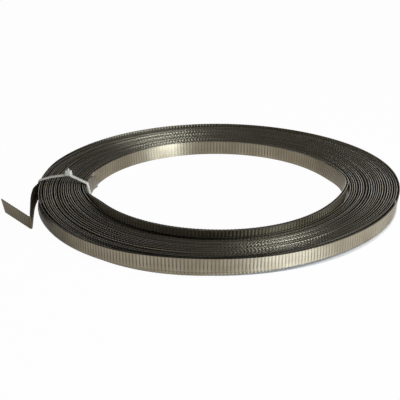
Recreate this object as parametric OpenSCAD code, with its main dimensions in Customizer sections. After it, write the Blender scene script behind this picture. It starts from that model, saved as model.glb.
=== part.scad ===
// Coil of corrugated steel strip, lying flat and held by one cable tie.
// Millimetres. Origin on the coil axis at floor level, X right, Y back, Z up.

/* [Strip] */
// width of the strip, which is the height of the coil
strip_w = 12.7; // [11:0.1:20]
// thickness of the sheet
strip_t = 0.5; // [0.3:0.05:0.8]
// height of the pressed waves from crest to crest, sheet included
wave_h = 0.8; // [0.65:0.05:1.2]
// length of one pressed wave along the strip
wave_len = 3.0; // [2:0.1:5]

/* [Coil] */
// bore inside the innermost turn
bore_d = 225; // [180:1:300]
// number of turns
turn_count = 24; // [10:1:40]
// radial step from one turn to the next
turn_step = 2.0; // [1.5:0.05:2.6]
// depth of the gaps that part the turns on both ends
gap_depth = 3.0; // [1:0.1:3.4]
// most that a loose turn rides up off the floor
loose_lift = 0.7; // [0:0.05:1.2]
// how far the outermost turn rides up
outer_lift = 1.95; // [1.8:0.05:2.4]
// number of turns in the raised band round the bore
raised_turns = 2; // [1:1:3]
// rise of the raised band at the front
raised_lift = 5.6; // [4:0.1:7]
// angle forward of each side at which the raised band has climbed to its full rise
climb_angle = 32; // [20:1:50]

/* [Free ends] */
// angle round the coil at which the outer end leaves it
tail_angle = 170; // [160:0.5:174]
// bend radius of the outer end, slacker than the coil
tail_r = 275; // [260:1:400]
// how far the outer end sags below the outermost turn
tail_sag = 0.3; // [0.1:0.1:0.8]
// length of the outer end up to its fold
tail_len = 98.5; // [70:0.5:130]
// length of the folded tip along its lower edge
tip_len = 38.6; // [20:0.1:50]
// how far the tip is folded back
tip_fold = 148; // [110:1:155]
// slant of the fold line
fold_slant = 3; // [0:0.5:4]
// slant of the snipped end
cut_slant = 11.5; // [0:0.5:20]
// length of the inner end that stands away from its turn
inner_len = 19; // [12:0.5:30]
// gap behind the tip of the inner end
inner_gap = 2.2; // [1.5:0.1:4]
// how far the inner end rides up
inner_lift = 1.0; // [0.3:0.1:2]

/* [Cable tie] */
// angle round the coil at which the tie sits
tie_angle = 178; // [176:0.5:182]
// width of the strap
tie_w = 3.6; // [2.5:0.1:4.8]
// thickness of the strap
tie_t = 1.2; // [1:0.05:1.4]
// clearance between the strap and the strip
tie_clear = 0.3; // [0.3:0.05:0.5]
// rise of the strap to its head, from the innermost turns
tie_rise = 6.0; // [4:0.1:8]
// place of the head across the wound band, as a share of its width
head_place = 0.48; // [0.3:0.01:0.7]
// length of the head along the strap
head_len = 6.6; // [5:0.1:8]
// width of the head
head_w = 6.4; // [5.5:0.1:8]
// height of the head
head_h = 4.8; // [3.5:0.1:6]
// length of the snipped strap end above the head
stub_len = 1.8; // [0.5:0.1:4]

/* [Hidden] */
$fn = 180;
bore_r = bore_d / 2;
outer_r = bore_r + (turn_count - 1) * turn_step + wave_h;
inner_mid_r = bore_r + wave_h / 2;
outer_mid_r = outer_r - wave_h / 2;
climb_y = inner_mid_r * sin(climb_angle);
core_low = gap_depth;
core_high = strip_w - gap_depth;
core_margin = 0.4;
raised_core_low = raised_lift + core_margin;
points_per_wave = 6;
wave_step = wave_len / points_per_wave;

// How far a free end has parted from its turn where its root starts, and where its waves are clear.
root_low = wave_h / 2;
root_high = wave_h + 0.1;

// The outer end: an arc that leaves the outermost turn on a tangent.
tail_c = (outer_mid_r - tail_r) * [cos(tail_angle), sin(tail_angle)];
tail_z = outer_lift - tail_sag;
tail_waves = ceil((tail_len - tail_parted(root_high)) / wave_len);
tail_from = tail_len - (tail_waves + 0.25) * wave_len;
fold_a = tail_angle + deg(tail_len / tail_r);
fold_at = on_arc(tail_c, tail_r, fold_a);

// The inner end: a tighter arc that leaves the innermost turn behind the tie.
inner_a = tie_angle - 0.5;
inner_r = 1 / (1 / inner_mid_r + 2 * inner_gap / pow(inner_len, 2));
inner_c = (inner_mid_r - inner_r) * [cos(inner_a), sin(inner_a)];
inner_from = inner_parted((root_low + root_high) / 2);
inner_z = inner_lift + raised_at(bore_r * sin(inner_a));

// The tie: a flat loop across the wound band, drawn as radius and height.
tie_in_r = bore_r - tie_clear - tie_t / 2;
tie_out_r = tail_reach(tie_angle) + wave_h / 2 + tie_clear + tie_t / 2;
tie_floor_gap = 0.2;
tie_low_z = tie_floor_gap + tie_t / 2;
tie_over = tie_clear + tie_t / 2;
tie_in_z = strip_w + raised_at(bore_r * sin(tie_angle) - tie_w) + tie_over;
tie_out_z = strip_w + outer_lift + tie_over;
head_r = bore_r + head_place * (outer_r - bore_r);
head_z = tie_in_z + tie_rise;
in_climb = atan2(head_z - tie_in_z, head_r - tie_in_r);
out_climb = atan2(head_z - tie_out_z, tie_out_r - head_r);
corner_r = 1.2;
strap_line = concat(
    corner([tie_in_r + corner_r, tie_low_z + corner_r], 270, 180),
    corner([tie_in_r + corner_r, tie_in_z - corner_r], 180, 90 + in_climb),
    [[head_r, head_z]],
    corner([tie_out_r - corner_r, tie_out_z - corner_r], 90 - out_climb, 0),
    corner([tie_out_r - corner_r, tie_low_z + corner_r], 0, -90)
);

function deg(rad) = rad * 180 / PI;

// Offset of the sheet's middle from the strip's centre line, at a length along it.
function wave(s) = (wave_h - strip_t) / 2 * sin(360 * s / wave_len);

// Point on an arc, with an offset outward.
function on_arc(c, r, a, off = 0) = c + (r + off) * [cos(a), sin(a)];

// Radius reached by the outer end's centre line at an angle round the coil.
function tail_reach(a) =
    let (c = tail_r - outer_mid_r)
    sqrt(pow(tail_r, 2) - pow(c * sin(a - tail_angle), 2)) - c * cos(a - tail_angle);

// Length along a free end at which it has parted from its turn by a distance.
function tail_parted(d) = sqrt(2 * d / (1 / outer_mid_r - 1 / tail_r));
function inner_parted(d) = inner_len * sqrt(d / inner_gap);

// Inner radius of a turn, counted from the bore.
function turn_r(k) = bore_r + k * turn_step;

// How far a turn rides up: about half of them sit on the floor.
function turn_lift(k) = k == turn_count - 1 ? outer_lift : loose_lift * max(0, sin(97 * k));

// Points round a corner of the strap.
function corner(c, from, to) = [for (i = [0:4]) c + corner_r * [
    cos(from + (to - from) * i / 4),
    sin(from + (to - from) * i / 4)
]];

// Rise of the raised band at a distance behind the coil's axis.
function raised_at(y) = raised_lift * min(1, max(0, -y / climb_y));

// Section of the wound band: each turn is a land, with a gap beside it on both ends.
module band_section() {
    last = turn_count - 1;
    top = [for (k = [raised_turns:last]) each [
        if (k > raised_turns) [turn_r(k), core_high],
        [turn_r(k), strip_w + turn_lift(k)],
        [turn_r(k) + wave_h, strip_w + turn_lift(k)],
        if (k < last) [turn_r(k) + wave_h, core_high]
    ]];
    bottom = [for (k = [last:-1:raised_turns]) each [
        if (k < last) [turn_r(k) + wave_h, core_low],
        [turn_r(k) + wave_h, turn_lift(k)],
        [turn_r(k), turn_lift(k)],
        if (k > raised_turns) [turn_r(k), core_low]
    ]];
    polygon(concat(top, bottom));
}

// A ring between two radii.
module ring(r1, r2, z1, z2) {
    rotate_extrude()
        translate([r1, z1])
            square([r2 - r1, z2 - z1]);
}

// The innermost turns: flat at the back, climbing past both sides to a level stretch at the front.
module raised_band() {
    far = turn_r(raised_turns);
    foot = [[far, 0], [0, 0], [-climb_y, raised_lift], [-far, raised_lift]];
    head = [for (i = [3:-1:0]) foot[i] + [0, strip_w]];
    intersection() {
        union() {
            for (k = [0:raised_turns - 1])
                ring(turn_r(k), turn_r(k) + wave_h, -1, strip_w + raised_lift + 1);
        }
        rotate([90, 0, 90])
            linear_extrude(2 * far, center = true)
                polygon(concat(foot, head));
    }
    ring(inner_mid_r, turn_r(raised_turns) + wave_h / 2, raised_core_low, core_high);
}

// A wavy sheet on an arc, upright, from one length along it to another.
module wavy_arc(c, r, a, way, from, to, phase) {
    count = ceil((to - from) / wave_step);
    lengths = [for (i = [0:count]) from + (to - from) * i / count];
    outer = [for (s = lengths) on_arc(c, r, a + way * deg(s / r), wave(s + phase) + strip_t / 2)];
    inner = [for (s = lengths) on_arc(c, r, a + way * deg(s / r), wave(s + phase) - strip_t / 2)];
    back = [for (i = [count:-1:0]) inner[i]];
    linear_extrude(strip_w)
        polygon(concat(outer, back));
}

// The root of a free end, where its waves still press against its turn.
module end_root(c, r, a, way, from, to, turn_mid_r) {
    count = ceil((to - from) / wave_step);
    lengths = [for (i = [0:count]) from + (to - from) * i / count];
    parted = [for (s = lengths) on_arc(c, r, a + way * deg(s / r))];
    wound = [for (i = [count:-1:0]) turn_mid_r * parted[i] / norm(parted[i])];
    linear_extrude(strip_w)
        polygon(concat(parted, wound));
}

// The outer end, up to its fold.
module outer_end() {
    translate([0, 0, tail_z]) {
        end_root(
            tail_c, tail_r, tail_angle, 1,
            tail_parted(root_low), tail_parted(root_high), outer_mid_r
        );
        wavy_arc(tail_c, tail_r, tail_angle, 1, tail_from, tail_len, -tail_len);
    }
}

// The folded tip of the outer end, with its slanting cut.
module folded_tip() {
    reach = tip_len + strip_w;
    count = ceil(reach / wave_step);
    upper = [for (i = [0:count]) [i * wave_step, wave(i * wave_step) + strip_t / 2]];
    lower = [for (i = [count:-1:0]) [i * wave_step, wave(i * wave_step) - strip_t / 2]];
    cut_x = tip_len + strip_w * tan(cut_slant);
    translate([fold_at.x, fold_at.y, tail_z])
        rotate([0, 0, fold_a + 90]) {
            cylinder(d = 2 * strip_t, h = strip_w);
            rotate(a = -tip_fold, v = [sin(fold_slant), 0, cos(fold_slant)])
                intersection() {
                    linear_extrude(strip_w)
                        polygon(concat(upper, lower));
                    translate([0, 2, 0])
                        rotate([90, 0, 0])
                            linear_extrude(4)
                                polygon([[-1, -1], [tip_len, -1], [cut_x, strip_w + 1], [-1, strip_w + 1]]);
                }
        }
}

// The inner end, sprung away from its turn.
module inner_end() {
    translate([0, 0, inner_z]) {
        end_root(
            inner_c, inner_r, inner_a, -1,
            inner_parted(root_low), inner_parted(root_high), inner_mid_r
        );
        wavy_arc(inner_c, inner_r, inner_a, -1, inner_from, inner_len, wave_len / 4 - inner_from);
    }
}

// The strip wound into its coil, with both free ends and the recess over the strap.
module strip_coil() {
    color("#8f877a") {
        difference() {
            union() {
                rotate_extrude()
                    band_section();
                raised_band();
            }
            rotate([0, 0, tie_angle])
                translate([bore_r - 5, -tie_w / 2 - tie_clear, -1])
                    cube([outer_r - bore_r + 10, tie_w + 2 * tie_clear, 1 + tie_low_z + tie_over]);
        }
        outer_end();
        folded_tip();
        inner_end();
    }
}

// A flat line of the strap's thickness through points, closed back to the first.
module strap_loop(points) {
    n = len(points);
    for (i = [0:n - 1]) {
        p = points[i];
        step = points[(i + 1) % n] - p;
        translate(p) {
            circle(d = tie_t, $fn = 24);
            rotate(atan2(step.y, step.x))
                translate([0, -tie_t / 2])
                    square([norm(step), tie_t]);
        }
    }
}

// The cable tie: one moulding, with its strap, head and snipped end.
module cable_tie() {
    color("#e4e2d8")
        rotate([0, 0, tie_angle]) {
            rotate([90, 0, 0])
                linear_extrude(tie_w, center = true)
                    strap_loop(strap_line);
            translate([head_r - head_len / 2, -head_w / 2, head_z - tie_t / 2])
                cube([head_len, head_w, head_h]);
            translate([head_r - tie_t / 2, -tie_w / 2, head_z])
                cube([tie_t, tie_w, head_h - tie_t / 2 + stub_len]);
        }
}

strip_coil();
cable_tie();
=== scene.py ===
"""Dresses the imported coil: the rippled strip turn by turn, its nylon tie, their finishes and a studio."""

import math

import bmesh
import bpy
import numpy as np
from mathutils import Matrix, Vector


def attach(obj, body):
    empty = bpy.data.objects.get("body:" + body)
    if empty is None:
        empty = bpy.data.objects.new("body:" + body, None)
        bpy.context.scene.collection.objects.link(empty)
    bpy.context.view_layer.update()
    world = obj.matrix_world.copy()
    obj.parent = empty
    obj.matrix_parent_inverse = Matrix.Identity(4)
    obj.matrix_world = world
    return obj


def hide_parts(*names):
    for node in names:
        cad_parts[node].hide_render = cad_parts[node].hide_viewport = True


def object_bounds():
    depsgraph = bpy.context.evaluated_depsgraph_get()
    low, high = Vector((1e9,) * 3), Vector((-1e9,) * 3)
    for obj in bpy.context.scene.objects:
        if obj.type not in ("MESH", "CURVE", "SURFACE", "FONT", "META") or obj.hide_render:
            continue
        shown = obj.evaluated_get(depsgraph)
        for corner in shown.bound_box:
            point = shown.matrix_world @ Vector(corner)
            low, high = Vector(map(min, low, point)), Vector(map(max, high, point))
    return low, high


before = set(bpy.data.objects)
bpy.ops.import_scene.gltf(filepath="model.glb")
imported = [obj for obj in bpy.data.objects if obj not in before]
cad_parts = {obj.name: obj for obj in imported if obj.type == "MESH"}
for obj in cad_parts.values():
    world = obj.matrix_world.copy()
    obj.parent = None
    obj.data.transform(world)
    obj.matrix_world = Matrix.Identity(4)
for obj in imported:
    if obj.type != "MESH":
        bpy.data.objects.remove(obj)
cad_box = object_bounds()

MM = 0.001
UP = np.array([0.0, 0.0, 1.0])

# The strip, in millimetres.
STRIP_W = 12.7
SHEET_T = 0.5
WAVE_LEN = 3.0
WAVE_AMP = 0.15
POINTS_PER_WAVE = 8
POINT_STEP = WAVE_LEN / POINTS_PER_WAVE
STRIP_SHARP_DEG = 60
STRETCHES = ("inner_turns", "middle_turns", "outer_turns")

# The winding. Angles are in degrees, counter-clockwise from +X, and the strip starts at its inner end.
START_ANGLE = 168.3
TURNS = 24
TURN_STEP = 1.98
CLOSE_STEP = 1.1
LEAST_STEP = 0.95
FIRST_R = 112.3
GRID_PER_TURN = 720
EVENED_FROM = 0.9

# What is drawn at random a few times in each turn: how loose the feet and heads lie, and the lift.
SEED = 11
GAP_KNOTS = 6
FOOT_LOOSE = (0.6, 1.4)
HEAD_LOOSE = (2.5, 0.4)
LIFT_KNOTS = 5
LIFT_NOISE = (0.4, 1.0)
LOOSE_LIFT = 0.5
LOOSE_LIFT_MOST = 1.2
FLOOR_CLEAR = 0.16

# Where the turns stray from a round spiral, lean and lift: an amount in millimetres, the angle that it is
# centred on and its width. For the evened heads the amount is a share.
TIE_ANGLE = 180.0
INNER_WAYS = ((-2.2, 30, 40), (-2.6, 90, 42), (-0.2, 141, 22), (1.5, TIE_ANGLE, 17))
INNER_LEANS = ((3.0, TIE_ANGLE, 17), (2.2, 108, 24))
INNER_WAY_TURNS = 12
FRONT_GAP = (2.6, 258, 55)
FRONT_GAP_TURNS = (2.8, 2.9)
OUTER_WAYS = ((8.2, 250, 35), (-2.6, 312, 25), (2.2, 21, 28))
OUTER_WAY_GROWTH = 2
LAST_TURN = (TURNS - 1.0, TURNS - 0.94)
LAST_TURN_WAYS = ((-1.0, 262, 32), (0.6, 205, 22), (-1.2, 95, 40))
GAPS_INSIDE_LAST = ((-0.6, 98, 45), (-1.1, 218, 25))
GAPS_GROWTH = 4
RIGHT_LEAN = (3.3, 14, 32)
EVEN_HEADS = (0.6, 0, 42)
TIE_LIFT = (1.25, TIE_ANGLE, 20)

# The raised turns round the bore, with the angles where they climb and come down, and the outermost turn.
RAISED_TURNS = 1.8
RAISED_LIFT = 6.3
RAISED_MORE = (1.4, 338, 20)
RAISED_SPAN = (184, 212, 346, 388)
RAISED_LEAN = (1.8, 285, 40)
RAISED_LEAN_END = (RAISED_TURNS, RAISED_TURNS + 0.1)
OUTER_LIFT = 1.6
OUTER_LIFT_FROM = (TURNS - 0.92, TURNS - 0.82)
OUTER_LIFT_WAYS = ((2.4, 261, 21), (-0.85, 160, 20), (-0.6, 206, 18), (-1.5, 336, 28), (0.6, 95, 40))

# Lengths along the strip: where the first turn and the raised turns end, and the outermost turn with its
# free end.
FIRST_TURN_END = (690, 720)
RAISED_END = (1300, 1360)
OUTERMOST_LEN = 1110
OUTERMOST_FADE = 60

# The inner end, which springs a little into the bore, its head more than its foot, and is cut on a slant.
SPRING_FOOT = 1.6
SPRING_HEAD = 4.6
SPRING_DEG = 9.7
SPRING_CURVE = 3
INNER_CUT = 5.0
INNER_CUT_LEN = 10.0

# The outer end: straight past the tie, an arc and straight again, leaning out and sinking to the floor,
# then a fold and a short tip.
TAIL_ANGLE = 178.5
TAIL_FROM_R = 159.0
TAIL_HEADING = 266.0
TAIL_STRAIGHT = 12.2
TAIL_ARC_LEN = 30.6
TAIL_R = 192.0
TAIL_LEN = 73.4
TAIL_SPARE = 4.0
TAIL_LEANS = (3.4, 1.2)
TAIL_LEAN_FROM = 18.0
TAIL_LIFT = 1.3
TAIL_DROP = 1.1
TAIL_DROP_LEN = 36.0
TAIL_FOOT_TURNS = (TURNS - 0.03, TURNS + 0.02)
TAIL_LIFT_TURNS = (TURNS, TURNS + 0.04)
TAIL_LEAN_TURNS = (TURNS - 0.05, TURNS + 0.02)
FOLD_DEG = 141.4
FOLD_SLANT = 4.2
FOLD_BEND_R = 0.9
BEND_LEN = FOLD_BEND_R * math.radians(FOLD_DEG)
FOLD_STEPS = 10
FOLD_FLAT = 2.5
TIP_LEN = 36.2
CUT_SLANT = 16.2

# How much of the waves' slope the shading shows: little on the wide faces, where dull rolled metal gleams
# smoothly, and more than the shape has on the raised turns at the right. The last two values are for the
# outermost turn.
SHADED_INNER = 0.09
SHADED_BAND = 0.45
SHADED_RAISED = (1.3, 338, 24)
SHADED_OUTER = 0.15
SHADED_BACK = (0.6, 98, 50)


def smooth(x, low, high):
    """0 below low, 1 above high, with an even slope between."""
    t = np.clip((np.asarray(x, float) - low) / (high - low), 0, 1)
    return t * t * (3 - 2 * t)


def within(x, span):
    """1 between the two inner values of a span of four, falling to 0 at its ends."""
    return smooth(x, *span[:2]) * (1 - smooth(x, *span[2:]))


def between(x, low, high):
    """True between two values."""
    return (x > low) & (x < high)


def towards(values, goal, share):
    """Values led over to a goal by a share."""
    return values + (goal - values) * share


def swell(angle, amount, centre, width):
    """An amount at one angle round the coil, falling away on both sides."""
    off = (np.asarray(angle) - centre + 180) % 360 - 180
    return amount * np.exp(-((off / width) ** 2))


def swells(angle, ways):
    """Several amounts round the coil in one."""
    return sum(swell(angle, *way) for way in ways)


def wander(turn, knots_per_turn, draw):
    """Smooth values along the strip, drawn a few times in each turn."""
    place = turn * knots_per_turn
    low = place.astype(int)
    knots = draw(low[-1] + 2)
    t = smooth(place - low, 0, 1)
    return knots[low] * (1 - t) + knots[low + 1] * t


def unit(vectors):
    """The same directions at length 1."""
    return vectors / np.linalg.norm(vectors, axis=-1, keepdims=True)


def angle_round(points):
    """The angle of points round the coil's axis."""
    return np.degrees(np.arctan2(points[:, 1], points[:, 0])) % 360


def run_along(line):
    """The length along a line in the plane at each of its points."""
    return np.concatenate([[0], np.cumsum(np.hypot(*np.diff(line, axis=0).T))])


def tail_route():
    """The outer end from the tie to a little past its fold: angle round the coil, radius and length."""
    at = np.arange(0, TAIL_LEN + TAIL_SPARE, POINT_STEP)
    heading = math.radians(TAIL_HEADING) + np.clip(at - TAIL_STRAIGHT, 0, TAIL_ARC_LEN) / TAIL_R
    from_axis = math.radians(TAIL_ANGLE)
    x = TAIL_FROM_R * math.cos(from_axis) + np.cumsum(np.cos(heading)) * POINT_STEP
    y = TAIL_FROM_R * math.sin(from_axis) + np.cumsum(np.sin(heading)) * POINT_STEP
    return np.degrees(np.arctan2(y, x)) % 360, np.hypot(x, y), at


def wound_radius(turn, loose):
    """Radius along the winding: each turn lies round the one before, with gaps of uneven looseness."""
    per = GRID_PER_TURN
    gap = CLOSE_STEP + (TURN_STEP - CLOSE_STEP) * loose
    r = FIRST_R + TURN_STEP * turn
    for start in range(per, len(turn), per):
        stop = min(start + per, len(turn))
        r[start:stop] = r[start - per:stop - per] + gap[start:stop]
    # The outermost turn is round, so what the gaps add up to is shared out over the turns inside it, and
    # evened where one turn goes over into the next.
    last = (TURNS - 1) * per
    off = r[last:last + per] - FIRST_R - TURN_STEP * turn[last:last + per]
    off += (off[0] - off[-1]) * smooth(np.arange(per), EVENED_FROM * per, per)
    middle_of_last = TURNS - 0.5
    return r - np.resize(off, len(turn)) * turn / middle_of_last


def part_turns(r):
    """Pushes each turn out where it would cut into the one inside it."""
    per = GRID_PER_TURN
    for start in range(per, len(r), per):
        stop = min(start + per, len(r))
        r[start:stop] = np.maximum(r[start:stop], r[start - per:stop - per] + LEAST_STEP)
    return r


def wound_lift(rng, turn, around):
    """Height of the strip's lower edge over the floor along the winding."""
    noise = wander(turn, LIFT_KNOTS, lambda n: rng.normal(*LIFT_NOISE, n))
    lift = np.clip(LOOSE_LIFT * noise, 0, LOOSE_LIFT_MOST)
    from_tie = (around - RAISED_SPAN[0]) % 360 + RAISED_SPAN[0]
    raised = (RAISED_LIFT + swell(around, *RAISED_MORE)) * within(from_tie, RAISED_SPAN)
    lift = np.where(turn < RAISED_TURNS, raised, lift)
    outer = OUTER_LIFT + swells(around, OUTER_LIFT_WAYS)
    lift = towards(lift, outer, smooth(turn, *OUTER_LIFT_FROM))
    return np.maximum(lift, swell(around, *TIE_LIFT))


def near_bore(turn):
    """1 at the bore, falling to 0 some turns out."""
    return np.clip(1 - turn / INNER_WAY_TURNS, 0, 1)


def wound_strays(turn, around):
    """How far the turns lie outside a round spiral, near the bore, at the front and along the outermost."""
    last_turn = smooth(turn, *LAST_TURN)
    strays = near_bore(turn) * swells(around, INNER_WAYS)
    strays += near_bore(turn) * smooth(turn, *FRONT_GAP_TURNS) * swell(around, *FRONT_GAP)
    strays += (turn / TURNS) ** OUTER_WAY_GROWTH * swells(around, OUTER_WAYS)
    strays += last_turn * swells(around, LAST_TURN_WAYS)
    strays += (1 - last_turn) * (turn / TURNS) ** GAPS_GROWTH * swells(around, GAPS_INSIDE_LAST)
    return strays


def wound_leans(turn, around):
    """How far the heads of the turns lie outside their feet."""
    leans = near_bore(turn) * swells(around, INNER_LEANS) + swell(around, *RIGHT_LEAN)
    return leans + swell(around, *RAISED_LEAN) * (1 - smooth(turn, *RAISED_LEAN_END))


def wound_radii(rng, turn, angle):
    """Radius of the strip's foot and of its head along the winding.

    The feet are fairly even and the heads are not, so wide gaps at the top close lower down. The inner end
    springs into the bore.
    """
    around = angle % 360
    foot = wound_radius(turn, wander(turn, GAP_KNOTS, lambda n: rng.uniform(*FOOT_LOOSE, n)))
    uneven = wander(turn, GAP_KNOTS, lambda n: rng.gamma(*HEAD_LOOSE, n))
    head = wound_radius(turn, towards(uneven, 1, swell(around, *EVEN_HEADS)))
    strays = wound_strays(turn, around)
    sprung = np.clip(1 - (angle - START_ANGLE) / SPRING_DEG, 0, 1) ** SPRING_CURVE
    foot = part_turns(foot + strays - SPRING_FOOT * sprung)
    head = part_turns(head + strays + wound_leans(turn, around) - SPRING_HEAD * sprung)
    return foot, head


def join_tail(turn, angle, foot, lift, lean, tail):
    """Leads the foot, lift and lean of the winding over to the outer end's own route."""
    tail_angle, tail_r, tail_at = tail
    past = angle - 360 * TURNS
    length = np.interp(past, tail_angle, tail_at)
    sink = np.clip((length - TAIL_LEN + TAIL_DROP_LEN) / TAIL_DROP_LEN, 0, None) ** 2
    tail_lean = np.interp(length, (0, TAIL_LEN), TAIL_LEANS) * smooth(length, 0, TAIL_LEAN_FROM)
    return (
        towards(foot, np.interp(past, tail_angle, tail_r), smooth(turn, *TAIL_FOOT_TURNS)),
        towards(lift, TAIL_LIFT - TAIL_DROP * sink, smooth(turn, *TAIL_LIFT_TURNS)),
        towards(lean, tail_lean, smooth(turn, *TAIL_LEAN_TURNS)),
    )


def strip_line():
    """The strip's lower edge up to the fold, at even steps: length along it, place and lean."""
    rng = np.random.default_rng(SEED)
    tail = tail_route()
    tail_angle, _, tail_at = tail
    fold_angle = np.interp(TAIL_LEN, tail_at, tail_angle)
    end_turn = TURNS + (fold_angle - START_ANGLE) / 360
    turn = np.arange(int(end_turn * GRID_PER_TURN) + 2) / GRID_PER_TURN
    angle = START_ANGLE + 360 * turn
    lift = wound_lift(rng, turn, angle % 360)
    foot, head = wound_radii(rng, turn, angle)
    foot, lift, lean = join_tail(turn, angle, foot, lift, head - foot, tail)

    x, y = foot * np.cos(np.radians(angle)), foot * np.sin(np.radians(angle))
    run = run_along(np.stack([x, y], 1))
    stop = np.interp(fold_angle + 360 * TURNS, angle, run)
    at = np.linspace(0, stop, int(stop / POINT_STEP) + 1)
    x, y, lift, lean = (np.interp(at, run, values) for values in (x, y, lift, lean))
    return at, np.stack([x, y, lift + FLOOR_CLEAR], 1), lean


def strip_axes(at, foot, lean):
    """Heading, outward and across directions along the strip, with its lean turned in."""
    heading = unit(np.gradient(foot, at, axis=0))
    outward = unit(np.cross(heading, UP))
    across = np.cross(outward, heading)
    tilt = np.arcsin(lean / STRIP_W)[:, None]
    return (
        heading,
        outward * np.cos(tilt) - across * np.sin(tilt),
        across * np.cos(tilt) + outward * np.sin(tilt),
    )


def folded_tip(foot, heading, outward, across):
    """Sections past the fold: length along the strip, lower and upper edge, heading and outward."""
    slant = math.radians(FOLD_SLANT)
    axis = Vector(heading * math.sin(slant) + across * math.cos(slant))
    centre = foot + outward * FOLD_BEND_R
    bend = np.linspace(0, BEND_LEN, FOLD_STEPS + 1)[1:]
    past = np.concatenate([bend, BEND_LEN + np.arange(POINT_STEP, TIP_LEN, POINT_STEP)])
    rows = []
    for s in past:
        turned = np.array(Matrix.Rotation(-min(s, BEND_LEN) / FOLD_BEND_R, 3, axis))
        along = max(0.0, s - BEND_LEN)
        slanted = math.tan(math.radians(CUT_SLANT)) * STRIP_W * along / TIP_LEN
        t, n, w = turned @ heading, turned @ outward, turned @ across
        low = centre + turned @ (foot - centre) + t * along
        rows.append((low, low + w * STRIP_W + t * slanted, t, n))
    return past, *(np.array(column) for column in zip(*rows))


def outermost_turn(at):
    """1 along the outermost turn and its free end, 0 before it."""
    start = at[-1] - OUTERMOST_LEN
    return smooth(at, start, start + OUTERMOST_FADE)


def pressed_waves(at, fold_at):
    """Offset and slope of the waves along the strip, in columns. They flatten out in the fold."""
    half_bend = BEND_LEN / 2
    from_fold = np.abs(at - fold_at - half_bend)
    amp = WAVE_AMP * smooth(from_fold, half_bend, half_bend + FOLD_FLAT)
    turn = 2 * math.pi / WAVE_LEN
    return (amp * np.sin(turn * at))[:, None], (amp * turn * np.cos(turn * at))[:, None]


def shown_slope(at, foot):
    """How much of the waves' slope the shading shows along the strip, in a column."""
    around = angle_round(foot)
    raised = swell(around, *SHADED_RAISED) * (1 - smooth(at, *RAISED_END))
    shown = towards(SHADED_INNER, SHADED_BAND + raised, smooth(at, *FIRST_TURN_END))
    shown = towards(shown, SHADED_OUTER + swell(around, *SHADED_BACK), outermost_turn(at))
    return shown[:, None]


def strip_sections():
    """Every section along the whole strip: length along it, four corners in metres, outward and upward."""
    at, foot, lean = strip_line()
    heading, outward, across = strip_axes(at, foot, lean)
    head = foot + across * STRIP_W
    head += heading * INNER_CUT * np.clip(1 - at / INNER_CUT_LEN, 0, 1)[:, None]
    past, *tip = folded_tip(foot[-1], heading[-1], outward[-1], across[-1])
    fold_at = at[-1]
    at = np.concatenate([at, fold_at + past])
    pairs = zip((foot, head, heading, outward), tip)
    foot, head, heading, outward = (np.concatenate(pair) for pair in pairs)

    offset, slope = pressed_waves(at, fold_at)
    sheet = unit(outward - slope * heading) * SHEET_T / 2
    shaded = unit(outward - shown_slope(at, foot) * slope * heading)
    low, high = foot + outward * offset, head + outward * offset
    corners = np.stack([low - sheet, low + sheet, high + sheet, high - sheet], 1) * MM
    return at, corners, shaded, unit(head - foot)


# The four sides of the strip between two sections: their corners, of which 4 to 7 are in the next section,
# their heights on the map and which way they look. The edges and the ends look neither out nor in and are
# sheared.
CORNERS = 4
SIDES = {"outer": [1, 5, 6, 2], "top": [3, 2, 6, 7], "inner": [0, 3, 7, 4], "bottom": [0, 4, 5, 1]}
HEIGHTS = {"outer": STRIP_W, "top": SHEET_T, "inner": STRIP_W, "bottom": SHEET_T}
FACINGS = {"outer": 1.0, "top": 0.0, "inner": -1.0, "bottom": 0.0}
END_FACINGS = [0.0, 0.0]
CORNERS_ACROSS = [0.0, 0.0, 1.0, 1.0]
MAP_PAD = 0.6

# Marks along the strip: a share, the angle that it is centred on and its width, and the turns that have it.
# The dimming is painted shade that darkens the metal's gleam and reflections; the gap, corner and band
# shades are painted shade in the dark gaps between turns and along the edges; the lit marks are painted
# light.
# Painted shade: these dim the metal's gleam and reflections on the outermost turn at the front-left and
# back, on the raised turns at the front and on the inner wall of the first turn.
OUTER_DIMMING = ((1.0, 211, 15), (0.5, 105, 40))
RAISED_DIMMING = ((0.8, 285, 38), (0.4, 311, 10))
INNER_DIMMING = ((0.35, 12, 16), (0.46, 116, 19))
# Painted shade on the band's edges at the front-left.
BAND_EDGE_SHADE = (0.75, 222, 30)
LAST_GAP_SHADE = (1.0, 98, 55)
RIM_GAP_SHADE = (1.0, 258, 26)
RIM_GAP_TURNS = (18.2, 18.7, 20.9, 21.4)
BORE_GAP_SHADE = (1.0, 250, 48)
BORE_FACE_TURNS = (2.0, 4.0)
BORE_EDGE_TURNS = (3.0, 4.0)
BORE_CORNER_SHADE = (0.8, 353, 15)
BORE_CORNER_TURNS = (2.0, 3.0)
END_GAP_TURNS = (1.0, 1.008, 1.05, 1.06)
# Painted light: the inner end and the outermost turn at the right are lightened, as where they mirror a
# brighter floor.
LIT_END = (13, 20)
LIT_OUTER = (0.85, 332, 25)
# Where the valleys' dirt and painted shade is taken off: the first turn's inner wall where it gleams.
VALLEYS_OFF_INNER = (0.8, 114, 17)


def side_normals(outward, upward):
    """Normals of the corners of every face, with the waves softened as dull rolled metal shows them."""
    looks = {"outer": outward, "top": upward, "inner": -outward, "bottom": -upward}
    rows = []
    for side, corners in SIDES.items():
        here = (np.array(corners) < CORNERS)[None, :, None]
        normal = looks[side][:, None]
        rows.append(np.where(here, normal[:-1], normal[1:]).reshape(-1, 3))
    ends = np.zeros((2 * CORNERS, 3))
    return np.concatenate(rows + [ends])


def set_marks(mesh, domain, marks):
    """Writes values onto the faces or points of a mesh, by name."""
    for name, values in marks.items():
        mesh.attributes.new(name, "FLOAT", domain).data.foreach_set("value", values)


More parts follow.
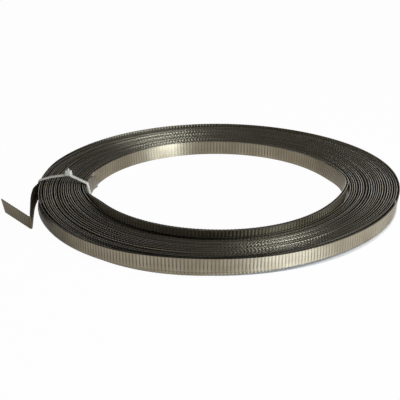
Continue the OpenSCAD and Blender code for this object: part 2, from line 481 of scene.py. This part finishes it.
def strip_piece(name, at, marks, corners, normals):
    """A closed mesh of one stretch of the strip, with its marks and a map in rows."""
    n = len(corners)
    first = CORNERS * np.arange(n - 1)[:, None]
    quads = [first + np.array(side) for side in SIDES.values()]
    ends = np.array([[0, 1, 2, 3], CORNERS * (n - 1) + np.array([3, 2, 1, 0])])
    mesh = bpy.data.meshes.new(name)
    mesh.from_pydata(corners.reshape(-1, 3), [], np.concatenate(quads + [ends]).tolist())
    mesh.shade_smooth()
    mesh.set_sharp_from_angle(angle=math.radians(STRIP_SHARP_DEG))

    facing = np.concatenate([np.full(n - 1, FACINGS[side]) for side in SIDES] + [END_FACINGS])
    set_marks(mesh, "FACE", {"sheared": (facing == 0).astype(float), "facing": facing})
    spread = {mark: np.repeat(values, CORNERS) for mark, values in marks.items()}
    set_marks(mesh, "POINT", {"across": np.tile(CORNERS_ACROSS, n), **spread})
    map_in_rows(mesh, at)
    mesh.normals_split_custom_set(normals.tolist())

    piece = bpy.data.objects.new(name, mesh)
    bpy.context.collection.objects.link(piece)
    return piece


def map_in_rows(mesh, at):
    """Lays the strip out in rows, like lines of text, so that every face has its own place on the map."""
    row_h = sum(HEIGHTS[side] + MAP_PAD for side in SIDES)
    segments = len(at) - 1
    rows = max(1, round(math.sqrt((at[-1] - at[0]) / row_h)))
    per_row = math.ceil(segments / rows)
    row, column = np.divmod(np.arange(segments), per_row)
    left, right = column / per_row, (column + 1) / per_row
    coords = []
    base = 0.0
    for side, corners in SIDES.items():
        low = (row * row_h + base) / (rows * row_h)
        high = (row * row_h + base + HEIGHTS[side]) / (rows * row_h)
        along_first = corners[1] - corners[0] == CORNERS
        second = (right, low) if along_first else (left, high)
        fourth = (left, high) if along_first else (right, low)
        loops = [(left, low), second, (right, high), fourth]
        coords.append(np.stack([np.stack(pair, 1) for pair in loops], 1).reshape(-1, 2))
        base += HEIGHTS[side] + MAP_PAD
    corner = 1 - MAP_PAD / (2 * rows * row_h)
    ends = np.tile([[corner, corner], [1, corner], [1, 1], [corner, 1]], (2, 1))
    uv = np.concatenate(coords + [ends])
    mesh.uv_layers.new(name="OFBake").data.foreach_set("uv", uv.ravel())


def strip_marks(at, corners):
    """What the finish needs to know along the strip, by name."""
    around = angle_round(corners[:, 0])
    angle = np.unwrap(around, period=360)
    turn = (angle - angle[0]) / 360
    outermost = outermost_turn(at)
    raised = 1 - smooth(at, *RAISED_END)
    # Painted shade in the dark gaps between turns: behind the outermost turn at the front, round the bore,
    # at its right-hand corner and behind the inner end.
    rim_gap = within(turn, RIM_GAP_TURNS) * swell(around, *RIM_GAP_SHADE)
    bore_gap = swell(around, *BORE_GAP_SHADE)
    bore_corner = between(turn, *BORE_CORNER_TURNS) * swell(around, *BORE_CORNER_SHADE)
    bore_faces = between(turn, *BORE_FACE_TURNS) * bore_gap
    bore_edges = between(turn, *BORE_EDGE_TURNS) * bore_gap
    end_gap = within(turn, END_GAP_TURNS)
    return {
        "along": at * MM,
        "outermost": outermost,
        "painted_dimming": raised * swells(around, RAISED_DIMMING + INNER_DIMMING)
        + outermost * swells(around, OUTER_DIMMING),
        "grime_and_shade": np.maximum(outermost, swell(around, *BAND_EDGE_SHADE)),
        "last_gap": outermost * swell(around, *LAST_GAP_SHADE),
        "face_shade": np.maximum.reduce([rim_gap, bore_faces, bore_corner, end_gap]),
        "edge_shade": np.maximum(rim_gap, bore_edges),
        "painted_light": np.maximum(1 - smooth(at, *LIT_END), outermost * swell(around, *LIT_OUTER)),
        "valleys_off": (1 - smooth(at, *FIRST_TURN_END)) * swell(around, *VALLEYS_OFF_INNER),
    }


def make_strip(at, corners, outward, upward):
    """The whole strip, in stretches of some turns each."""
    cuts = np.linspace(0, len(at) - 1, len(STRETCHES) + 1).astype(int)
    marks = strip_marks(at, corners)
    pieces = []
    for name, low, high in zip(STRETCHES, cuts, cuts[1:]):
        part = slice(low, high + 1)
        marked = {mark: values[part] for mark, values in marks.items()}
        normals = side_normals(outward[part], upward[part])
        piece = strip_piece(name, at[part], marked, corners[part], normals)
        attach(piece, "root")
        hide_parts("strip_coil")
        pieces.append(piece)
    return pieces


# The cable tie, in millimetres: a strap askew round the band at the left, with its head on top.
TIE_OUT_ANGLE = 178.5
TIE_IN_ANGLE = 181.8
TIE_REACH_DEG = 1.2
TIE_REACH_TURNS = 3
TIE_SHARP_DEG = 35
STRAP_W = 3.6
STRAP_T = 1.1
STRAP_EDGE = 0.25
STRAP_CLEAR = 0.1
STRAP_STEP = 0.3
STRAP_BULGE_R = 149.0
STRAP_BULGE = 0.9
CORNER_R = 1.6
CORNER_STEPS = 8
TOOTH_W = 2.4
TOOTH_STEP = 1.2
TOOTH_H = 0.2
HEAD_R = 132.8
HEAD_STRAP_Z = 22.0
HEAD_SIZE = (6.9, 6.4, 4.6)
HEAD_TAPER = 0.74
SLOT = (1.7, 3.8, 2.6)
STUB_UP = 1.3
STUB_SLANT = 0.5
ROUND_MOST = 1.0
ROUND_SHARE = 0.25
ROUND_STEPS = 3


def band_edge(corners, angle, pick):
    """Reach of the wound band at one angle, by pick (min or max): radius at foot and head, and height."""
    points = corners / MM
    off = angle_round(points[:, 0]) - angle
    near = points[np.abs(off) < TIE_REACH_DEG]
    r = np.hypot(near[..., 0], near[..., 1])
    edge = pick(r[:, 2:])
    beside = np.abs(r[:, 2:] - edge) < TIE_REACH_TURNS * TURN_STEP
    return pick(r[:, :2]), edge, near[:, 2:, 2][beside].max()


def rounded_loop(points, radius):
    """A closed line through corner points in the plane, with its corners rounded, at even steps."""
    line = []
    for before, corner, after in zip(np.roll(points, 1, 0), points, np.roll(points, -1, 0)):
        back, on = unit(before - corner), unit(after - corner)
        half = math.acos(np.clip(back @ on, -1, 1)) / 2
        centre = corner + unit(back + on) * radius / math.sin(half)
        first = corner + back * radius / math.tan(half) - centre
        last = corner + on * radius / math.tan(half) - centre
        for t in np.linspace(0, 1, CORNER_STEPS):
            line.append(centre + unit(first * (1 - t) + last * t) * radius)
    line = np.array(line + line[:1])
    run = run_along(line)
    at = np.linspace(0, run[-1], int(run[-1] / STRAP_STEP), endpoint=False)
    return at, np.stack([np.interp(at, run, line[:, i]) for i in range(2)], 1)


def strap_line(outer, inner):
    """The strap's loop round the band in its own plane: length along it, radius and height."""
    out_foot, out_head, out_z = outer
    in_foot, in_head, in_z = inner
    low = STRAP_T / 2
    off = low + STRAP_CLEAR
    corner = out_head + off
    rise = (HEAD_STRAP_Z - out_z - off) * (corner - STRAP_BULGE_R) / (corner - HEAD_R) + STRAP_BULGE
    return rounded_loop(np.array([
        (in_foot - off, low),
        (out_foot + off, low),
        (corner, out_z + off),
        (STRAP_BULGE_R, out_z + off + rise),
        (HEAD_R, HEAD_STRAP_Z),
        (in_head - off, in_z + off),
    ]), CORNER_R)


def strap_plane(out_foot, in_foot):
    """The strap's upright plane, from outer to inner point: places by radius and height, and inward."""
    polar = ((out_foot, math.radians(TIE_OUT_ANGLE)), (in_foot, math.radians(TIE_IN_ANGLE)))
    start, end = (np.array([r * math.cos(a), r * math.sin(a), 0]) for r, a in polar)
    inward = unit(end - start)
    spread = np.linalg.norm(end - start) / (out_foot - in_foot)

    def place(r, z):
        return start + (out_foot - r) * spread * inward + z * UP

    return place, inward


def strap_section(at):
    """Points round the strap's section, outward and across, with teeth on its inner side."""
    half_w, half_t = STRAP_W / 2, STRAP_T / 2
    tooth = TOOTH_H * (at / TOOTH_STEP % 1)
    flat, edge = np.full(len(at), half_t), np.full(len(at), half_t - STRAP_EDGE)
    return [
        (flat, half_w - STRAP_EDGE),
        (edge, half_w),
        (-edge, half_w),
        (-flat, half_w - STRAP_EDGE),
        (tooth - flat, TOOTH_W / 2),
        (tooth - flat, -TOOTH_W / 2),
        (-flat, STRAP_EDGE - half_w),
        (-edge, -half_w),
        (edge, -half_w),
        (flat, STRAP_EDGE - half_w),
    ]


def ring_mesh(name, rings):
    """A mesh through rings of points that follow each other in a closed loop."""
    n, m = rings.shape[:2]
    ring = np.arange(n)[:, None] * m
    after = np.roll(ring, -1, 0)
    this, beside = np.arange(m), (np.arange(m) + 1) % m
    quads = np.stack([ring + this, ring + beside, after + beside, after + this], -1).reshape(-1, 4)
    mesh = bpy.data.meshes.new(name)
    mesh.from_pydata((rings * MM).reshape(-1, 3), [], quads.tolist())
    return mesh


def strap_mesh(corners):
    """The strap's closed loop, and the place and directions of its head."""
    outer = band_edge(corners, TIE_OUT_ANGLE, np.max)
    inner = band_edge(corners, TIE_IN_ANGLE, np.min)
    at, line = strap_line(outer, inner)
    place, inward = strap_plane(outer[0], inner[0])
    side = np.cross(inward, UP)
    middle = place(line[:, :1], line[:, 1:])
    heading = unit(np.roll(middle, -1, 0) - np.roll(middle, 1, 0))
    outward = np.cross(side, heading)
    rings = [middle + outward * out[:, None] + side * across for out, across in strap_section(at)]
    mesh = ring_mesh("strap", np.stack(rings, 1))
    head_at = Matrix.Translation(Vector(place(HEAD_R, HEAD_STRAP_Z - STRAP_T / 2) * MM))
    axes = head_at @ Matrix(np.stack([inward, -side, UP], 1)).to_4x4()
    return mesh, axes @ Matrix.Scale(MM, 4)


def tapered_block(sides, taper, slant):
    """A block that stands on its origin, narrower at its top, which may be cut on a slant."""
    block = bmesh.new()
    bmesh.ops.create_cube(block, size=1.0)
    for vert in block.verts:
        at_top = vert.co.z > 0
        narrowed = taper if at_top else 1.0
        lifted = slant * vert.co.y if at_top else 0.0
        vert.co.x *= sides[0] * narrowed
        vert.co.y *= sides[1] * narrowed
        vert.co.z = (vert.co.z + 0.5) * sides[2] + lifted
    return block


def sink_slot(block, margin, slot):
    """Sinks a slot into the top of a block."""
    top = max(block.faces, key=lambda face: face.calc_center_median().z)
    bmesh.ops.inset_individual(block, faces=[top], thickness=margin)
    for vert in top.verts:
        vert.co.x = math.copysign(slot[0] / 2, vert.co.x)
        vert.co.y = math.copysign(slot[1] / 2, vert.co.y)
    floor = bmesh.ops.extrude_discrete_faces(block, faces=[top])["faces"][0]
    bmesh.ops.translate(block, verts=floor.verts, vec=(0, 0, -slot[2]))


def rounded_block(mesh_out, axes, sides, taper, slot=None, slant=0.0):
    """Adds a block with rounded edges, standing on a place, with a slot in its top or a slanting cut."""
    block = tapered_block(sides, taper, slant)
    rounding = min(ROUND_MOST, ROUND_SHARE * min(sides))
    edges = block.edges[:]
    bmesh.ops.bevel(block, geom=edges, offset=rounding, segments=ROUND_STEPS, profile=0.5, affect="EDGES")
    if slot:
        sink_slot(block, rounding, slot)
    block.transform(axes)
    part = bpy.data.meshes.new("block")
    block.to_mesh(part)
    mesh_out.from_mesh(part)


def make_tie(corners):
    """The cable tie: strap, head and snipped end in one piece."""
    strap, head_axes = strap_mesh(corners)
    tie = bmesh.new()
    tie.from_mesh(strap)
    rounded_block(tie, head_axes, HEAD_SIZE, HEAD_TAPER, slot=SLOT)
    stub_sides = (STRAP_T, STRAP_W, HEAD_SIZE[2] + STUB_UP - STRAP_T)
    rounded_block(tie, head_axes @ Matrix.Translation((0, 0, STRAP_T)), stub_sides, 1.0, slant=STUB_SLANT)
    bmesh.ops.recalc_face_normals(tie, faces=tie.faces[:])
    mesh = bpy.data.meshes.new("tie")
    tie.to_mesh(mesh)
    mesh.shade_smooth()
    mesh.set_sharp_from_angle(angle=math.radians(TIE_SHARP_DEG))
    piece = bpy.data.objects.new("tie", mesh)
    bpy.context.collection.objects.link(piece)
    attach(piece, "root")
    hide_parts("cable_tie")
    return piece


# The colour sockets of a Mix node: two that go in and one that comes out.
MIX_A = 6
MIX_B = 7
MIX_OUT = 2
BUMP_DEPTH = 0.05 * MM


def shader_node(tree, kind, **values):
    """Adds a shader node and sets its input sockets by name, with spaces written as underscores."""
    made = tree.nodes.new(kind)
    for key, value in values.items():
        made.inputs[key.replace("_", " ")].default_value = value
    return made


def new_material(name):
    """A material with its Principled shader."""
    material = bpy.data.materials.new(name)
    material.use_nodes = True
    return material, material.node_tree, material.node_tree.nodes["Principled BSDF"]


def attribute(tree, name):
    """The values of a mesh attribute."""
    made = tree.nodes.new("ShaderNodeAttribute")
    made.attribute_name = name
    return made.outputs["Fac"]


def feed(tree, socket, value):
    """Gives a socket its value, which is another socket or a number."""
    if isinstance(value, bpy.types.NodeSocket):
        tree.links.new(value, socket)
    else:
        socket.default_value = value


def maths(tree, kind, *values):
    """One sum of values, each a socket or a number."""
    made = tree.nodes.new("ShaderNodeMath")
    made.operation = kind
    for socket, value in zip(made.inputs, values):
        feed(tree, socket, value)
    return made.outputs[0]


def noise(tree, place, scale, detail=4.0, rough=0.55):
    """A noise texture at a place, in waves to the metre."""
    made = shader_node(tree, "ShaderNodeTexNoise", Scale=scale, Detail=detail, Roughness=rough)
    tree.links.new(place, made.inputs["Vector"])
    return made.outputs["Fac"]


def ramp(tree, value, stops):
    """Colours or greys picked by a value."""
    made = tree.nodes.new("ShaderNodeValToRGB")
    elements = made.color_ramp.elements
    while len(elements) < len(stops):
        elements.new(0.5)
    for element, (position, colour) in zip(elements, stops):
        element.position = position
        element.color = (*colour, 1) if isinstance(colour, tuple) else (colour, colour, colour, 1)
    tree.links.new(value, made.inputs["Fac"])
    return made.outputs["Color"]


def blend(tree, kind, share, a, b):
    """Two colours mixed; share is a socket or a number."""
    made = tree.nodes.new("ShaderNodeMix")
    made.data_type = "RGBA"
    made.blend_type = kind
    feed(tree, made.inputs["Factor"], share)
    tree.links.new(a, made.inputs[MIX_A])
    tree.links.new(b, made.inputs[MIX_B])
    return made.outputs[MIX_OUT]


def darken(tree, colour, value, stops, share=1.0):
    """A colour times the greys or tints that a value picks."""
    return blend(tree, "MULTIPLY", share, colour, ramp(tree, value, stops))


def add_bump(tree, shader, height, strength):
    """Fine relief on a shader."""
    bump = shader_node(tree, "ShaderNodeBump", Strength=strength, Distance=BUMP_DEPTH)
    tree.links.new(height, bump.inputs["Height"])
    tree.links.new(bump.outputs["Normal"], shader.inputs["Normal"])


# The strip's finish. Noise is in waves to the metre, and each ramp goes from a value to a grey or a colour.
STAIN_SCALE = 45
STREAK_SCALE = 60
STREAK_STRETCH = (1, 40, 1)
EDGE_SCALE = 4
EDGE_DETAIL = 3.0
FACE_STAINS = [(0.3, (0.31, 0.262, 0.186)), (0.5, (0.4, 0.343, 0.248)), (0.7, (0.495, 0.434, 0.324))]
STREAK_GREYS = [(0.3, 0.86), (0.7, 1.0)]
# Painted shade: the faces get darker towards both edges, between the turns.
RIM_SHADE_GREYS = [(0.84, 1.0), (0.97, 0.7)]
# Dirt and painted shade in the valleys of the waves, in patches and fading low down.
VALLEY_DIRT_AND_SHADE = [(0.0, 0.3), (0.75, 1.0)]
VALLEY_PATCHES = [(0.36, 0.5), (0.62, 1.0)]
VALLEY_FADE = [(0.14, 0.25), (0.3, 1.0), (0.9, 0.65)]
# Painted shadows: a row of dark dots in the valleys low on the faces.
LOW_VALLEY_SHADOWS = [(0.0, 0.35), (0.4, 1.0)]
LOW_SHADOW_BAND = [(0.1, 0.0), (0.16, 1.0), (0.22, 0.0)]
# Painted shade: the tint that the dimming darkens the metal to.
DIMMING_TINTS = [(0.0, 1.0), (1.0, (0.4, 0.385, 0.325))]
# Painted shade: a black line along the top of the outermost turn's outer face, for the shadowed gap behind
# it.
TOP_RIM_SHADE_GREYS = [(0.91, 1.0), (0.95, 0.04)]
# Painted shade: the inside of the outermost turn goes dark below the next turn's top.
LAST_GAP_GREYS = [(0.8, 0.04), (0.86, 1.0)]
# Painted shade in the gaps between turns.
GAP_GREYS = [(0.0, 1.0), (1.0, 0.1)]
# Painted light, added to the faces.
PAINTED_LIGHT_TINTS = [(0.0, 0.0), (0.85, (0.112, 0.103, 0.08)), (1.0, (0.12, 0.115, 0.125))]
EDGE_GREYS = [(0.38, (0.28, 0.27, 0.245)), (0.62, (0.58, 0.565, 0.53))]
EDGE_TINTS = [(0.38, (1.0, 0.93, 0.78)), (0.6, (1.0, 1.0, 1.0))]
# Dirt and painted shade on the sheared edges: the outermost turn's edges, and the band's at the front-left.
GRIME_AND_SHADE_GREYS = [(0.0, 1.0), (1.0, 0.3)]
STREAK_DULL = (0.14, 0.35)
EDGE_DULLER = 0.22
STREAK_BUMP = 0.1
GLEAM_SPREAD = 0.65
GLEAM_TURN = 0.25


def flat_places(tree, along, across):
    """Places on the strip laid out flat, and the same squeezed for streaks along it."""
    place = tree.nodes.new("ShaderNodeCombineXYZ")
    tree.links.new(along, place.inputs["X"])
    tree.links.new(maths(tree, "MULTIPLY", across, STRIP_W * MM), place.inputs["Y"])
    streaked = tree.nodes.new("ShaderNodeVectorMath")
    streaked.operation = "MULTIPLY"
    streaked.inputs[1].default_value = STREAK_STRETCH
    tree.links.new(place.outputs["Vector"], streaked.inputs[0])
    return place.outputs["Vector"], streaked.outputs["Vector"]


def worn_and_shaded_face(tree, along, across, stains, streaks):
    """The strip's faces: stains and streaks, painted shade by the rims, dirt with painted shade in the wave
    valleys and a row of painted shadows low down.
    """
    face = darken(tree, ramp(tree, stains, FACE_STAINS), streaks, STREAK_GREYS)
    # Painted shade towards both edges of the faces.
    rim = maths(tree, "MULTIPLY", maths(tree, "ABSOLUTE", maths(tree, "SUBTRACT", across, 0.5)), 2.0)
    face = darken(tree, face, rim, RIM_SHADE_GREYS)
    # Dirt and painted shade in the valleys of the waves, taken off where marked.
    wave = maths(tree, "SINE", maths(tree, "MULTIPLY", along, 2 * math.pi / (WAVE_LEN * MM)))
    crest = maths(tree, "MULTIPLY_ADD", maths(tree, "MULTIPLY", wave, attribute(tree, "facing")), 0.5, 0.5)
    patches = maths(tree, "MULTIPLY", ramp(tree, stains, VALLEY_PATCHES), ramp(tree, across, VALLEY_FADE))
    patches = maths(tree, "MULTIPLY", patches, maths(tree, "SUBTRACT", 1.0, attribute(tree, "valleys_off")))
    face = darken(tree, face, crest, VALLEY_DIRT_AND_SHADE, patches)
    # Painted shadows: a row of dark dots low on the faces.
    return darken(tree, face, crest, LOW_VALLEY_SHADOWS, ramp(tree, across, LOW_SHADOW_BAND))


def marked_face(tree, face, across):
    """The faces with what is marked on them: painted shade that dims their gleam, painted shade in the gaps
    beside them and painted light.
    """
    # Painted shade that dims the gleam and reflections.
    face = darken(tree, face, attribute(tree, "painted_dimming"), DIMMING_TINTS)
    facing = attribute(tree, "facing")
    looks_out = maths(tree, "MAXIMUM", facing, 0.0)
    looks_in = maths(tree, "MAXIMUM", maths(tree, "MULTIPLY", facing, -1.0), 0.0)
    # Painted shade: a black line along the top of the outermost turn's outer face.
    top_rim_shade = maths(tree, "MULTIPLY", attribute(tree, "outermost"), looks_out)
    face = darken(tree, face, across, TOP_RIM_SHADE_GREYS, top_rim_shade)
    # Painted shade: the inside of the outermost turn goes dark below the next turn's top.
    last_gap = maths(tree, "MULTIPLY", attribute(tree, "last_gap"), looks_in)
    face = darken(tree, face, across, LAST_GAP_GREYS, last_gap)
    # Painted shade in the gaps beside the turns.
    face = darken(tree, face, attribute(tree, "face_shade"), GAP_GREYS)
    # Painted light added on top.
    return blend(tree, "ADD", 1.0, face, ramp(tree, attribute(tree, "painted_light"), PAINTED_LIGHT_TINTS))


def sheared_edge(tree, stains, lengths):
    """The strip's sheared edges: grey in uneven lengths, with dirt and painted shade where marked."""
    edge = darken(tree, ramp(tree, lengths, EDGE_GREYS), stains, EDGE_TINTS)
    # Dirt and painted shade on the edges.
    edge = darken(tree, edge, attribute(tree, "grime_and_shade"), GRIME_AND_SHADE_GREYS)
    return darken(tree, edge, attribute(tree, "edge_shade"), GAP_GREYS)


def spread_gleams(tree, shader, sheared):
    """Rolling marks spread gleams across the faces; on the edges the shear's marks do the opposite."""
    tangent = tree.nodes.new("ShaderNodeTangent")
    tangent.direction_type = "UV_MAP"
    tangent.uv_map = "OFBake"
    tree.links.new(tangent.outputs["Tangent"], shader.inputs["Tangent"])
    turned = maths(tree, "MULTIPLY_ADD", sheared, -GLEAM_TURN, GLEAM_TURN)
    tree.links.new(turned, shader.inputs["Anisotropic Rotation"])
    shader.inputs["Anisotropic"].default_value = GLEAM_SPREAD


def steel():
    """Bare rolled strip: warm grey faces and dark sheared edges."""
    material, tree, shader = new_material("bare_steel")
    along = attribute(tree, "along")
    across = attribute(tree, "across")
    sheared = attribute(tree, "sheared")
    place, streaked = flat_places(tree, along, across)
    stains = noise(tree, place, STAIN_SCALE)
    streaks = noise(tree, streaked, STREAK_SCALE)
    lengths = noise(tree, place, EDGE_SCALE, detail=EDGE_DETAIL)

    face = marked_face(tree, worn_and_shaded_face(tree, along, across, stains, streaks), across)
    edge = sheared_edge(tree, stains, lengths)
    tree.links.new(blend(tree, "MIX", sheared, face, edge), shader.inputs["Base Color"])
    dull = maths(tree, "MULTIPLY_ADD", streaks, *STREAK_DULL)
    dull = maths(tree, "MULTIPLY_ADD", sheared, EDGE_DULLER, dull)
    tree.links.new(dull, shader.inputs["Roughness"])
    shader.inputs["Metallic"].default_value = 1.0
    add_bump(tree, shader, streaks, STREAK_BUMP)
    spread_gleams(tree, shader, sheared)
    return material


# The tie's finish.
CLOUD_SCALE = 160
GRAIN_SCALE = 2500
GRAIN_DETAIL = 2.0
NYLON_WHITES = [(0.3, (0.5, 0.47, 0.405)), (0.7, (0.6, 0.575, 0.51))]
NYLON_DULL = (0.2, 0.32)
GRAIN_BUMP = 0.2
NYLON_DEPTH = 1.0 * MM
NYLON_DEPTHS = (1.0, 0.95, 0.8)
NYLON_CLEAR = 0.25


def nylon():
    """Natural nylon: off-white, a little cloudy and translucent."""
    material, tree, shader = new_material("natural_nylon")
    place = tree.nodes.new("ShaderNodeTexCoord").outputs["Object"]
    clouds = noise(tree, place, CLOUD_SCALE)
    grain = noise(tree, place, GRAIN_SCALE, detail=GRAIN_DETAIL)
    tree.links.new(ramp(tree, clouds, NYLON_WHITES), shader.inputs["Base Color"])
    tree.links.new(maths(tree, "MULTIPLY_ADD", clouds, *NYLON_DULL), shader.inputs["Roughness"])
    add_bump(tree, shader, grain, GRAIN_BUMP)
    shader.inputs["Subsurface Weight"].default_value = NYLON_CLEAR
    shader.inputs["Subsurface Radius"].default_value = NYLON_DEPTHS
    shader.inputs["Subsurface Scale"].default_value = NYLON_DEPTH
    return material


# The studio: a white floor, dimmer where the metal mirrors it but with a painted pool of light there towards
# +X, and dark under the band, and a dim room.
FLOOR_HALF = 6.0
FLOOR_WHITE = 0.9
FLOOR_DULL = 0.9
FLOOR_GLOW = 0.965
FLOOR_GLOW_MIRRORED = 0.64
MIRRORED_PER_M = 1.7
MIRRORED_LEAST = 0.2
MIRRORED_MOST = 0.95
FLOOR_DROP = 0.2 * MM
COVERED_FROM = 114 * MM
COVERED_TO = 160 * MM
WORLD_GREY = 0.26

# Each lamp: its place in metres, its two sides, its power in watts and its colour. All point at the coil.
LAMPS = {
    "key": ((1.18, -1.06, 0.25), (0.8, 0.4), 28, (0.77, 0.885, 1.0)),
    "overhead": ((0.5, -0.2, 1.8), (1.4, 1.2), 13, (1, 1, 1)),
}


def open_floor(tree):
    """1 on the open floor and 0 under the coil, so that the gaps between its turns stay dark."""
    place = tree.nodes.new("ShaderNodeNewGeometry").outputs["Position"]
    from_axis = tree.nodes.new("ShaderNodeVectorMath")
    from_axis.operation = "LENGTH"
    tree.links.new(place, from_axis.inputs[0])
    beyond = maths(tree, "GREATER_THAN", from_axis.outputs["Value"], COVERED_TO)
    inside = maths(tree, "LESS_THAN", from_axis.outputs["Value"], COVERED_FROM)
    return maths(tree, "MAXIMUM", beyond, inside)


def glow_share(tree):
    """How much of the floor's own shading its white gives way to, as seen by the camera and in the metal."""
    path = tree.nodes.new("ShaderNodeLightPath")
    place = tree.nodes.new("ShaderNodeSeparateXYZ")
    tree.links.new(tree.nodes.new("ShaderNodeNewGeometry").outputs["Position"], place.inputs["Vector"])
    # Painted light: the floor that the metal mirrors glows brighter towards +X, the key lamp's side, and
    # dimmer to the left.
    lit = maths(tree, "MULTIPLY_ADD", place.outputs["X"], MIRRORED_PER_M, FLOOR_GLOW_MIRRORED)
    lit = maths(tree, "MINIMUM", maths(tree, "MAXIMUM", lit, MIRRORED_LEAST), MIRRORED_MOST)
    mirrored = maths(tree, "MULTIPLY", path.outputs["Is Glossy Ray"], lit)
    return maths(tree, "MULTIPLY_ADD", path.outputs["Is Camera Ray"], FLOOR_GLOW, mirrored)


def floor_white():
    """The floor's material: white with a glow of its own."""
    material, tree, shader = new_material("pale_floor")
    shader.inputs["Base Color"].default_value = (FLOOR_WHITE, FLOOR_WHITE, FLOOR_WHITE, 1)
    shader.inputs["Roughness"].default_value = FLOOR_DULL
    glow = shader_node(tree, "ShaderNodeEmission", Strength=1.0)
    mix = tree.nodes.new("ShaderNodeMixShader")
    tree.links.new(maths(tree, "MULTIPLY", glow_share(tree), open_floor(tree)), mix.inputs["Fac"])
    tree.links.new(shader.outputs["BSDF"], mix.inputs[1])
    tree.links.new(glow.outputs["Emission"], mix.inputs[2])
    tree.links.new(mix.outputs["Shader"], tree.nodes["Material Output"].inputs["Surface"])
    return material


def make_floor():
    """A wide pale floor that reads as white and keeps a soft shadow."""
    mesh = bpy.data.meshes.new("floor")
    h = FLOOR_HALF
    mesh.from_pydata([(-h, -h, 0), (h, -h, 0), (h, h, 0), (-h, h, 0)], [], [(0, 1, 2, 3)])
    mesh.materials.append(floor_white())
    floor = bpy.data.objects.new("floor", mesh)
    floor.location.z = cad_box[0][2] - FLOOR_DROP
    bpy.context.collection.objects.link(floor)


def make_room():
    """A dim room whose backdrop is white to the camera."""
    world = bpy.data.worlds.new("studio")
    bpy.context.scene.world = world
    world.use_nodes = True
    tree = world.node_tree
    backdrop = tree.nodes["Background"]
    path = tree.nodes.new("ShaderNodeLightPath")
    level = shader_node(tree, "ShaderNodeMapRange", To_Min=WORLD_GREY, To_Max=1.0)
    tree.links.new(path.outputs["Is Camera Ray"], level.inputs["Value"])
    backdrop.inputs["Color"].default_value = (1, 1, 1, 1)
    tree.links.new(level.outputs["Result"], backdrop.inputs["Strength"])


def make_lamps():
    """Soft lamps that the camera doesn't see."""
    for name, (place, sides, power, colour) in LAMPS.items():
        lamp = bpy.data.lights.new(name, "AREA")
        lamp.shape = "RECTANGLE"
        lamp.size, lamp.size_y = sides
        lamp.energy = power
        lamp.color = colour
        holder = bpy.data.objects.new(name, lamp)
        holder.location = place
        holder.rotation_euler = (-Vector(place)).to_track_quat("-Z", "Y").to_euler()
        holder.visible_camera = False
        bpy.context.collection.objects.link(holder)


# The camera that the photo's edges give: its distance, height angle, lens and aim.
VIEW_DISTANCE = 1.12
VIEW_ELEVATION = 22.47
VIEW_ROLL = -0.3
SENSOR_W = 36.0
LENS_PX = 1245.3
FRAME_PX = 400.0
AIM_LEFT_PX = 16.9
AIM_DOWN_PX = 2.7


def make_camera():
    """A camera at the photo's angle and distance."""
    lens = bpy.data.cameras.new("camera")
    lens.sensor_width = SENSOR_W
    lens.lens = SENSOR_W * LENS_PX / FRAME_PX
    camera = bpy.data.objects.new("camera", lens)
    tilt = math.radians(VIEW_ELEVATION)
    place = VIEW_DISTANCE * Vector((0, -math.cos(tilt), math.sin(tilt)))
    up = Vector((0, math.sin(tilt), math.cos(tilt)))
    aim = -(Vector((1, 0, 0)) * AIM_LEFT_PX + up * AIM_DOWN_PX) * VIEW_DISTANCE / LENS_PX
    turn = (aim - place).to_track_quat("-Z", "Y").to_matrix().to_4x4()
    camera.matrix_world = Matrix.Translation(place) @ turn @ Matrix.Rotation(math.radians(VIEW_ROLL), 4, "Z")
    bpy.context.collection.objects.link(camera)
    bpy.context.scene.camera = camera


along, sections, outward, upward = strip_sections()
steel_finish = steel()
for piece in make_strip(along, sections, outward, upward):
    piece.data.materials.append(steel_finish)
make_tie(sections).data.materials.append(nylon())

make_floor()
make_room()
make_lamps()
make_camera()
bpy.context.scene.view_settings.view_transform = "Standard"
